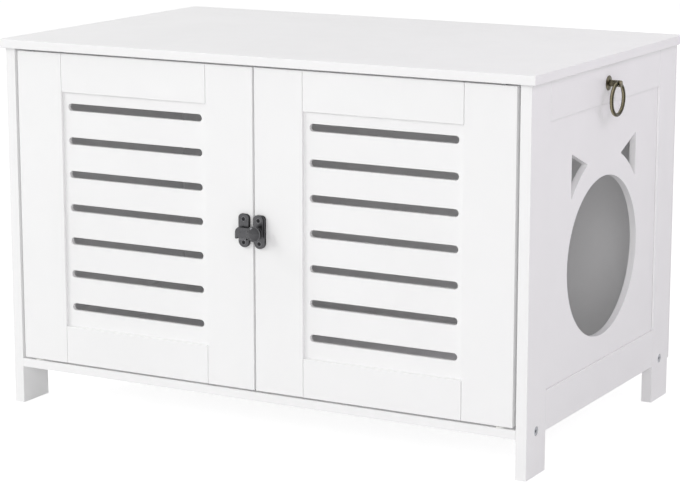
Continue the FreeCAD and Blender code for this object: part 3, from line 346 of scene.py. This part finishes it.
def makeGunmetal(look):
    # metal plated dark and relieved with a brush: faces that look to the front are lighter and their rims
    # lighter still, partly wear and partly a painted highlight; sides facing away are near black, partly
    # plating the brush missed and partly painted shade
    material, tree, shader, coords = newMaterial(look["name"])
    place = coords.outputs["Object"]
    long = addNode(tree, "Mapping", {"Vector": place, "Scale": look["drawnOut"]}).outputs[0]
    patch = addNode(tree, "TexNoise", {"Vector": place, **look["patch"]}).outputs["Fac"]
    brush = addNode(tree, "TexNoise", {"Vector": long, **look["brush"]}).outputs["Fac"]
    split = addNode(tree, "SeparateXYZ", {"Vector": coords.outputs["Normal"]})
    toFront = addNode(tree, "Math", {0: split.outputs["Y"], 1: -1.0}, operation="MULTIPLY").outputs[0]
    # painted shade: surfaces that face away from the front take the dark side colour
    metal = addTones(tree, toFront, look["rubAndShadeReach"], look["side"], look["face"])
    stained = addTones(tree, patch, look["speckReach"], metal, look["speck"], (0, look["speckMost"]))
    # rays sent into the piece come out again soon where it has an outer edge, and not in its corners
    inward = addNode(tree, "AmbientOcclusion", {"Distance": look["edgeMm"] / 1000},
                     inside=True, only_local=True, samples=12)
    # painted highlight, partly real wear: outer rims that face the front take the light edge colour
    low, high = look["edgeReach"]
    inputs = {"Value": inward.outputs["AO"], "From Min": low, "From Max": high,
              "To Min": look["rimWearAndHighlight"], "To Max": 0}
    wornAndHighlitRims = addNode(tree, "MapRange", inputs)
    low, high = look["edgeFacing"]
    reached = addNode(tree, "MapRange", {"Value": toFront, "From Min": low, "From Max": high})
    both = addNode(tree, "Math", {0: wornAndHighlitRims.outputs[0], 1: reached.outputs[0]}, operation="MULTIPLY")
    inputs = {0: both.outputs[0], 6: stained, 7: linear(look["edge"])}
    colour = addNode(tree, "Mix", inputs, data_type="RGBA").outputs[2]
    finishSurface(tree, shader, look, colour, patch, brush)
    return material


brass = {
    "name": "acidBrownedCastBrass",
    "rubbedAndHighlight": "#837c68",         # where fingers keep it bright
    "brownAndShade": "#4c483d",
    "rubAndShadeReach": (0.35, 0.65),
    "green": "#45463a",          # in the pits
    "greenReach": (0.56, 0.72),
    "greenMost": 0.8,            # how green the deepest pits get, of 1
    "patch": {"Scale": perMetre(7), "Detail": 4, "Roughness": 0.6},
    "pits": {"Scale": perMetre(1.5), "Detail": 3, "Roughness": 0.6},
    "depthMm": 0.04,
    "roughness": (0.24, 0.42),
    "metallic": 1,
}


def makeBrass(look):
    # cast brass, browned in acid and waxed: olive brown, brighter where handled, green-black in the pits; on
    # the ring the bright run is also a painted highlight and the brown sides painted shade
    material, tree, shader, coords = newMaterial(look["name"])
    place = coords.outputs["Object"]
    patch = addNode(tree, "TexNoise", {"Vector": place, **look["patch"]}).outputs["Fac"]
    pits = addNode(tree, "TexNoise", {"Vector": place, **look["pits"]}).outputs["Fac"]
    if "asideReach" in look:
        # on the ring: painted highlight on the run that faces out and in, painted shade on the two sides
        split = addNode(tree, "SeparateXYZ", {"Vector": coords.outputs["Normal"]})
        aside = addNode(tree, "Math", {0: split.outputs["X"]}, operation="ABSOLUTE").outputs[0]
        tone = addTones(tree, aside, look["asideReach"], look["brownAndShade"], look["rubbedAndHighlight"], (1, 0))
    else:
        tone = addTones(tree, patch, look["rubAndShadeReach"], look["brownAndShade"], look["rubbedAndHighlight"])
    colour = addTones(tree, pits, look["greenReach"], tone, look["green"], (0, look["greenMost"]))
    finishSurface(tree, shader, look, colour, patch, pits)
    return material


finishes = {
    "white_lacquered_board": makeLacquer(),
    "white_faced_hardboard": makeHardboard(),
    "zinc_plated_steel": makeZincPlate(),
    "zinc_die_casting": makeMoulded(zincCasting),
    "beech_dowel": makeBeech(),
    "white_nylon": makeMoulded(nylon),
    "white_plastic": makeMoulded(whiteAbs),
    "dark_gunmetal_finish": makeGunmetal(gunmetal),
    "aged_brass": makeBrass(brass),
    "ferrite_magnet": makeMoulded(ferrite),
}
for name, piece in nodes.items():
    piece.data.materials.clear()
    piece.data.materials.append(finishes[slotOf[name]])
print("materials made:", len(finishes))


meshing = {
    "weld": 1e-6,    # metres between two points that are one
    "flat": 0.2,     # degrees between two faces that are one
    "sharp": 28,     # degrees at an edge that is rounded
    "crisp": 38,     # degrees at an edge that still shows as one
    "even": 100,     # how far the large faces set the shading of the roundings beside them
    "touch": 1e-5,   # metres between a point and the plane that it lies in
}


def weldedCopy(node):
    # the node's solid as a clean mesh: one face for each flat, no doubled points
    work = bmesh.new()
    work.from_mesh(nodes[node].data)
    bmesh.ops.remove_doubles(work, verts=work.verts, dist=meshing["weld"])
    flat = math.radians(meshing["flat"])
    bmesh.ops.dissolve_limit(work, angle_limit=flat, verts=work.verts, edges=work.edges)
    return work


def roundEdges(work, mm, steps, chosen=None):
    # rounds the sharp edges of a mesh, or those of them that are chosen
    least = math.radians(meshing["sharp"])
    sharp = [e for e in work.edges if e.is_manifold and e.calc_face_angle(0) > least]
    if chosen:
        sharp = [e for e in sharp if chosen(e)]
    bmesh.ops.bevel(work, geom=sharp, offset=mm / 1000, offset_type="OFFSET", segments=steps,
                    profile=0.5, affect="EDGES", clamp_overlap=False)


def newPiece(name, work, slot, body, *replaced):
    # a finished mesh as a piece that rides on its body and stands for CAD nodes
    mesh = bpy.data.meshes.new(name)
    work.verts.index_update()
    faces = [[v.index for v in f.verts] for f in work.faces]
    mesh.from_pydata([v.co[:] for v in work.verts], [], faces)
    work.free()
    mesh.shade_smooth()
    mesh.set_sharp_from_angle(angle=math.radians(meshing["crisp"]))
    mesh.materials.append(finishes[slot])
    piece = bpy.data.objects.new(name, mesh)
    scene.collection.objects.link(piece)
    even = piece.modifiers.new("evenNormals", "WEIGHTED_NORMAL")
    even.keep_sharp = True
    even.weight = meshing["even"]
    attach(piece, body)
    if replaced:
        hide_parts(*replaced)
    return piece


def roundedNode(node, mm, steps, chosen=None):
    # a node's own shape with its edges rounded
    work = weldedCopy(node)
    roundEdges(work, mm, steps, chosen)
    return newPiece(node + "_finished", work, slotOf[node], bodyOf[node], node)


boards = {
    "edge": (0.5, 2),      # mm and steps of the sanded arris of every board
    "thinEdge": (0.4, 2),  # of the hardboard back
    "doorJointMm": 0.65,   # open seam between the end of a rail and its stile
    "sideJointMm": 0.3,
}


def openJoints(node, along, across, mm):
    # a rail whose shoulders stop short of its stiles, so that the joints show as fine dark seams
    work = weldedCopy(node)
    low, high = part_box(node)
    low, high = low[across], high[across]
    onFaces = [v for v in work.verts if min(v.co[across] - low, high - v.co[across]) < meshing["touch"]]
    places = [v.co[along] for v in onFaces]
    ends = (min(places), max(places))
    for vert in work.verts:
        for end, inward in zip(ends, (1, -1)):
            if abs(vert.co[along] - end) < meshing["touch"]:
                vert.co[along] += inward * mm / 1000
    roundEdges(work, *boards["edge"])
    return newPiece(node + "_finished", work, slotOf[node], bodyOf[node], node)


for node, slot in slotOf.items():
    if slot == "white_lacquered_board" and node != "top_panel":
        if node.endswith("_rail"):
            if "_door_" in node:
                openJoints(node, 0, 1, boards["doorJointMm"])
            else:
                openJoints(node, 1, 0, boards["sideJointMm"])
        else:
            roundedNode(node, *boards["edge"])
roundedNode("back_panel", *boards["thinEdge"])
print("boards rounded")


fasteners = {"edge": (0.25, 2)}    # mm and steps
for node in ("frame_bolts", "back_panel_screws"):
    roundedNode(node, *fasteners["edge"])
print("bolts and screws rounded")


latch = {
    "screwsApart": 31,           # mm, in each plate
    "holeReach": 3.4,            # mm round the middle of a hole, where no edge is rounded
    "baseFronts": (-246, -244),  # mm along y, the front of its housing and of its plate
    "keeperFronts": (-244,),
    "baseEdge": (0.8, 4),        # mm and steps of each rounding
    "keeperEdge": (1.7, 4),
    "leverEdge": (1.2, 3),
    "knobEdge": (0.45, 3),
    "screwEdge": (0.25, 2),
}
# the plating of the base, polished by fingers on the dome, with the same painted shade on sides and painted
# highlight on rims
knobPlating = {
    **gunmetal,
    "name": "polishedGunmetalPlatedZincPaintedShade",
    "face": "#545456",
    "roughness": (0.15, 0.22),
}
# steel, black zinc plated: dull and nearly black, and dark also as painted shade for the sunk screw heads
blackPlatingAndShade = {
    **gunmetal,
    "name": "blackZincPlatedSteelPaintedShade",
    "face": "#343436",
    "roughness": (0.4, 0.55),
    "rimWearAndHighlight": 0.15,
}


def frontEdges(node, levels):
    # picks the outer edges of the front faces at these levels, not those of the holes in them
    low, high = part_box(node)
    middle = (low + high) / 2
    holes = [middle.z + step * latch["screwsApart"] / 2000 for step in (-1, 0, 1)]
    clearance = latch["holeReach"] / 1000

    def chosen(edge):
        centre = (edge.verts[0].co + edge.verts[1].co) / 2
        clear = all(math.hypot(centre.x - middle.x, centre.z - z) > clearance for z in holes)
        level = any(all(abs(v.co.y - y / 1000) < meshing["touch"] for v in edge.verts) for y in levels)
        return level and clear and edge.calc_face_angle_signed(0) > 0

    return chosen


roundedNode("latch_base", *latch["baseEdge"], frontEdges("latch_base", latch["baseFronts"]))
roundedNode("latch_keeper", *latch["keeperEdge"], frontEdges("latch_keeper", latch["keeperFronts"]))
roundedNode("latch_lever", *latch["leverEdge"])
knob = roundedNode("latch_knob", *latch["knobEdge"])
knob.data.materials[0] = makeGunmetal(knobPlating)
blackSteelAndShade = makeGunmetal(blackPlatingAndShade)
for node in ("latch_base_screws", "latch_keeper_screws"):
    screws = roundedNode(node, *latch["screwEdge"])
    screws.data.materials[0] = blackSteelAndShade
print("latch made")


pull = {
    "ringRadius": 20.4,  # mm, to the middle of the wire
    "wire": 5,           # mm thick
    "around": 128,       # points round the ring and round its wire
    "across": 28,
    "edge": (0.35, 3),   # mm and steps, of rosette and post
}
# a painted highlight along the ring's inner and outer run, where it is also worn by fingers and by the eye,
# and brown on its two sides, partly patina and partly painted shade
ringBrass = {
    **brass,
    "name": "handWornCastBrassPaintedHighlight",
    "rubbedAndHighlight": "#aca488",
    "brownAndShade": "#3f3b2e",
    "asideReach": (0.12, 0.62),  # how squarely a surface faces to a side, from the worn run with its painted highlight to the brown sides with their painted shade
}


def makeRing():
    # the cast ring, hanging from the eye of the post
    low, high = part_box("pull_ring")
    middle = (low + high) / 2
    work = bmesh.new()
    rings = []
    for i in range(pull["around"]):
        a = 2 * math.pi * i / pull["around"]
        out = Vector((0, math.sin(a), -math.cos(a)))
        loop = []
        for j in range(pull["across"]):
            b = 2 * math.pi * j / pull["across"]
            reach = pull["ringRadius"] + pull["wire"] / 2 * math.cos(b)
            side = pull["wire"] / 2 * math.sin(b)
            loop.append(work.verts.new(middle + (out * reach + Vector((side, 0, 0))) / 1000))
        rings.append(loop)
    for i, loop in enumerate(rings):
        after = rings[(i + 1) % len(rings)]
        for j in range(len(loop)):
            k = (j + 1) % len(loop)
            work.faces.new((loop[j], after[j], after[k], loop[k]))
    bmesh.ops.recalc_face_normals(work, faces=work.faces)
    return newPiece("pull_ring_finished", work, "aged_brass", bodyOf["pull_ring"], "pull_ring")


ring = makeRing()
ring.data.materials[0] = makeBrass(ringBrass)
for node in ("ring_rosette", "ring_post"):
    roundedNode(node, *pull["edge"])
print("ring pull made")


studio = {
    "floorHalf": 25,         # metres
    "floorGap": 0.0003,      # metres under the feet, so that the two don't lie in one plane
    "floorColour": "#dcdcdc",
    "floorShown": 0.32,      # how strongly the camera sees the shadow
    "floorGlow": 0.86,       # what the camera sees on top, so that the open floor is white
    "skyColour": "#fffeff",
    "sky": 0.47,
    "aim": (0, 0, 0.3),      # metres, where every lamp points
    "bounces": 16,           # a closed white box needs many before its inside is as light as it should be
}
lamps = {
    # colour, watts, size in metres, degrees to the side, degrees up, metres away, mirrored in gloss
    "key": ("#fdfffd", 105, (2.7, 2.1), -43, 25, 6.0, False),
    "besideCamera": ("#fffeff", 54, (2.0, 2.4), 30, 12, 4.5, False),
    "right": ("#faedff", 3.5, (0.9, 0.9), 92, 30, 1.6, True),
    "left": ("#ffffff", 43, (1.9, 1.5), -78, 36, 4.0, True),
    "behind": ("#ffffff", 44, (2.2, 1.6), 180, 10, 5.0, False),
}


def seenRays(tree):
    # 1 for rays from the camera, a mirror or glass, and 0 for the light's own rays
    path = addNode(tree, "LightPath")
    names = ("Is Camera Ray", "Is Glossy Ray", "Is Transmission Ray")
    straight, glossy, through = (path.outputs[n] for n in names)
    both = addNode(tree, "Math", {0: straight, 1: glossy}, operation="MAXIMUM")
    every = addNode(tree, "Math", {0: both.outputs[0], 1: through}, operation="MAXIMUM")
    return every.outputs[0]


def makeFloor():
    half = studio["floorHalf"]
    mesh = bpy.data.meshes.new("floor")
    corners = [(-half, -half), (half, -half), (half, half), (-half, half)]
    mesh.from_pydata([(x, y, -studio["floorGap"]) for x, y in corners], [], [(0, 1, 2, 3)])
    floor = bpy.data.objects.new("floor", mesh)
    scene.collection.objects.link(floor)
    material = bpy.data.materials.new("paintedStudioFloor")
    material.use_nodes = True
    tree = material.node_tree
    tree.nodes.clear()
    paint = addNode(tree, "BsdfDiffuse", {"Color": linear(studio["floorColour"])})
    grey = [studio["floorShown"]] * 3 + [1]
    shown = addNode(tree, "BsdfDiffuse", {"Color": grey})
    glow = addNode(tree, "Emission", {"Strength": studio["floorGlow"]})
    pale = addNode(tree, "AddShader", {0: shown.outputs[0], 1: glow.outputs[0]})
    both = addNode(tree, "MixShader", {0: seenRays(tree), 1: paint.outputs[0], 2: pale.outputs[0]})
    addNode(tree, "OutputMaterial", {"Surface": both.outputs[0]})
    mesh.materials.append(material)


def makeLight():
    world = bpy.data.worlds.new("studio")
    scene.world = world
    world.use_nodes = True
    tree = world.node_tree
    tree.nodes.clear()
    sky = addNode(tree, "Background", {"Color": linear(studio["skyColour"]), "Strength": studio["sky"]})
    white = addNode(tree, "Background", {"Color": (1, 1, 1, 1), "Strength": 1.0})
    both = addNode(tree, "MixShader", {0: seenRays(tree), 1: sky.outputs[0], 2: white.outputs[0]})
    addNode(tree, "OutputWorld", {"Surface": both.outputs[0]})
    for name, (colour, watts, size, aside, up, away, mirrored) in lamps.items():
        turn = math.radians(aside)
        rise = math.radians(up)
        flat = math.cos(rise)
        back = Vector((math.sin(turn) * flat, -math.cos(turn) * flat, math.sin(rise)))
        lamp = bpy.data.lights.new(name, "AREA")
        lamp.shape = "RECTANGLE"
        lamp.size, lamp.size_y = size
        lamp.energy = watts
        lamp.color = linear(colour)[:3]
        softbox = bpy.data.objects.new(name, lamp)
        softbox.location = Vector(studio["aim"]) + back * away
        softbox.rotation_euler = (-back).to_track_quat("-Z", "Y").to_euler()
        softbox.visible_glossy = mirrored
        scene.collection.objects.link(softbox)
    scene.cycles.max_bounces = studio["bounces"]
    scene.cycles.diffuse_bounces = studio["bounces"]


makeFloor()
makeLight()
print("floor and light made")
